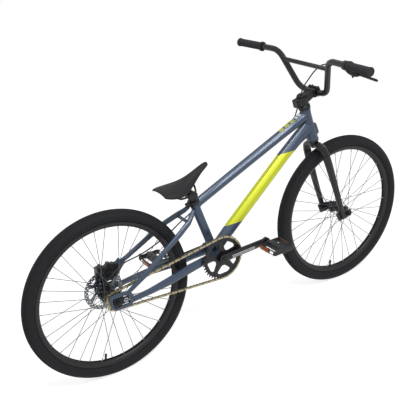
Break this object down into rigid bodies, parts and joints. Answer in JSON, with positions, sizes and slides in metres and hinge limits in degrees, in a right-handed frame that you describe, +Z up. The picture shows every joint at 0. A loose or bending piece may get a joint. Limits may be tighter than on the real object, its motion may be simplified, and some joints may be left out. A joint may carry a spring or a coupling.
{
  "type": "bmx cruiser bike",
  "caption": "Racing cruiser bike with aluminium frame, straight-leg fork, riser bar, chain drive and rear disc brake; wheels, cranks, pedals, steering, lever and seat post move.",
  "frame": {"origin": "on the ground, midway between the two axles, on the middle plane of the bike", "axes": "+X forward, +Y to the rider's left, +Z up"},
  "size_m": [1.604, 0.7, 0.9578],
  "materials": {
    "frame_paint": "slate blue metallic paint over the metal, gloss",
    "black_gloss": "black paint, gloss",
    "crank_black": "black anodised, gloss",
    "rim_black": "black anodised, satin",
    "black_satin": "black anodised, satin",
    "grip_rubber": "matt",
    "tyre_rubber": "matt",
    "tube_rubber": "matt",
    "hose_cover": "satin",
    "hub_and_spokes": "bright",
    "plain_steel": "zinc plated",
    "rotor_steel": "ground",
    "chain_plating": "pale plated",
    "saddle_shell": "fine grain, matt",
    "pedal_plastic": "moulded, matt"
  },
  "bodies": {
    "frame": {"head_tube": "frame_paint", "top_tube": "frame_paint", "down_tube": "frame_paint", "seat_tube": "frame_paint", "bottom_bracket_shell": "frame_paint", "chainstay_left": "frame_paint", "chainstay_right": "frame_paint", "seatstay_left": "frame_paint", "seatstay_right": "frame_paint", "seatstay_bridge": "frame_paint", "dropout_left": "frame_paint", "dropout_right": "frame_paint", "seat_clamp": "black_satin", "headset_lower_bearing": "black_satin", "headset_upper_bearing": "black_satin", "bottom_bracket_cup_left": "plain_steel", "bottom_bracket_cup_right": "plain_steel", "brake_caliper": "black_satin", "brake_hose_rear": "hose_cover", "chain": "chain_plating", "rear_axle": "plain_steel", "chain_tensioner_left": "black_satin", "chain_tensioner_right": "black_satin"},
    "pad_inner": {"brake_pad_inner": "plain_steel"},
    "pad_outer": {"brake_pad_outer": "plain_steel"},
    "seat": {"seat_post": "black_satin", "saddle_clamp": "black_satin", "saddle_rails": "plain_steel", "saddle": "saddle_shell"},
    "steering": {"fork_crown": "black_gloss", "fork_leg_left": "black_gloss", "fork_leg_right": "black_gloss", "headset_cone": "black_satin", "stem": "black_satin", "stem_faceplate": "black_satin", "top_cap": "black_satin", "handlebar": "black_gloss", "grip_left": "grip_rubber", "grip_right": "grip_rubber", "brake_lever_body": "black_satin", "brake_hose_front": "hose_cover", "front_axle": "plain_steel"},
    "lever": {"brake_lever": "black_satin"},
    "front_wheel": {"front_tyre": "tyre_rubber", "front_inner_tube": "tube_rubber", "front_rim": "rim_black", "front_hub": "hub_and_spokes"},
    "rear_wheel": {"rear_tyre": "tyre_rubber", "rear_inner_tube": "tube_rubber", "rear_rim": "rim_black", "rear_hub": "hub_and_spokes", "brake_rotor": "rotor_steel"},
    "driver": {"rear_cog": "chain_plating"},
    "crank": {"chainring": "crank_black", "crank_arm_right": "crank_black", "crank_arm_left": "crank_black", "pedal_axle_right": "plain_steel", "pedal_axle_left": "plain_steel"},
    "pedal_right": {"pedal_right": "pedal_plastic"},
    "pedal_left": {"pedal_left": "pedal_plastic"}
  },
  "joints": [
    {"name": "steer", "type": "hinge", "parent": "frame", "child": "steering", "pos_m": [0.46944, 0, 0.28829], "axis": [-0.2706, 0, 0.9627], "range_deg": [-75, 75], "deforming": ["brake_hose_front"]},
    {"name": "seat_height", "type": "slide", "parent": "frame", "child": "seat", "axis": [-0.3024, 0, 0.9532], "range_m": [-0.01, 0.08]},
    {"name": "front_wheel_spin", "type": "hinge", "parent": "steering", "child": "front_wheel", "pos_m": [0.504, 0, 0.298], "axis": [0, 1, 0], "continuous": true},
    {"name": "rear_wheel_spin", "type": "hinge", "parent": "frame", "child": "rear_wheel", "pos_m": [-0.504, 0, 0.298], "axis": [0, 1, 0], "continuous": true},
    {"name": "crank_spin", "type": "hinge", "parent": "frame", "child": "crank", "pos_m": [-0.0841, 0, 0.3087], "axis": [0, 1, 0], "continuous": true, "deforming": ["chain"]},
    {"name": "driver_spin", "type": "hinge", "parent": "frame", "child": "driver", "pos_m": [-0.504, 0, 0.298], "axis": [0, 1, 0], "continuous": true},
    {"name": "pedal_right_spin", "type": "hinge", "parent": "crank", "child": "pedal_right", "pos_m": [0.09009, 0, 0.32547], "axis": [0, 1, 0], "continuous": true},
    {"name": "pedal_left_spin", "type": "hinge", "parent": "crank", "child": "pedal_left", "pos_m": [-0.25829, 0, 0.29193], "axis": [0, 1, 0], "continuous": true},
    {"name": "lever_pull", "type": "hinge", "parent": "steering", "child": "lever", "pos_m": [0.34733, -0.25109, 0.91565], "axis": [-0.7535, 0.0579, -0.6549], "range_deg": [0, 9.5], "stiffness_Nm_per_rad": 1.5, "springref_deg": -6.88},
    {"name": "pad_inner_slide", "type": "slide", "parent": "frame", "child": "pad_inner", "axis": [0, 1, 0], "range_m": [0, 0.0004]},
    {"name": "pad_outer_slide", "type": "slide", "parent": "frame", "child": "pad_outer", "axis": [0, -1, 0], "range_m": [0, 0.0004]}
  ],
  "couplings": [
    {"joint": "driver_spin", "follows": "crank_spin", "ratio": 2.4375},
    {"joint": "pad_inner_slide", "follows": "lever_pull", "m_per_rad": 0.0024},
    {"joint": "pad_outer_slide", "follows": "lever_pull", "m_per_rad": 0.0024}
  ]
}
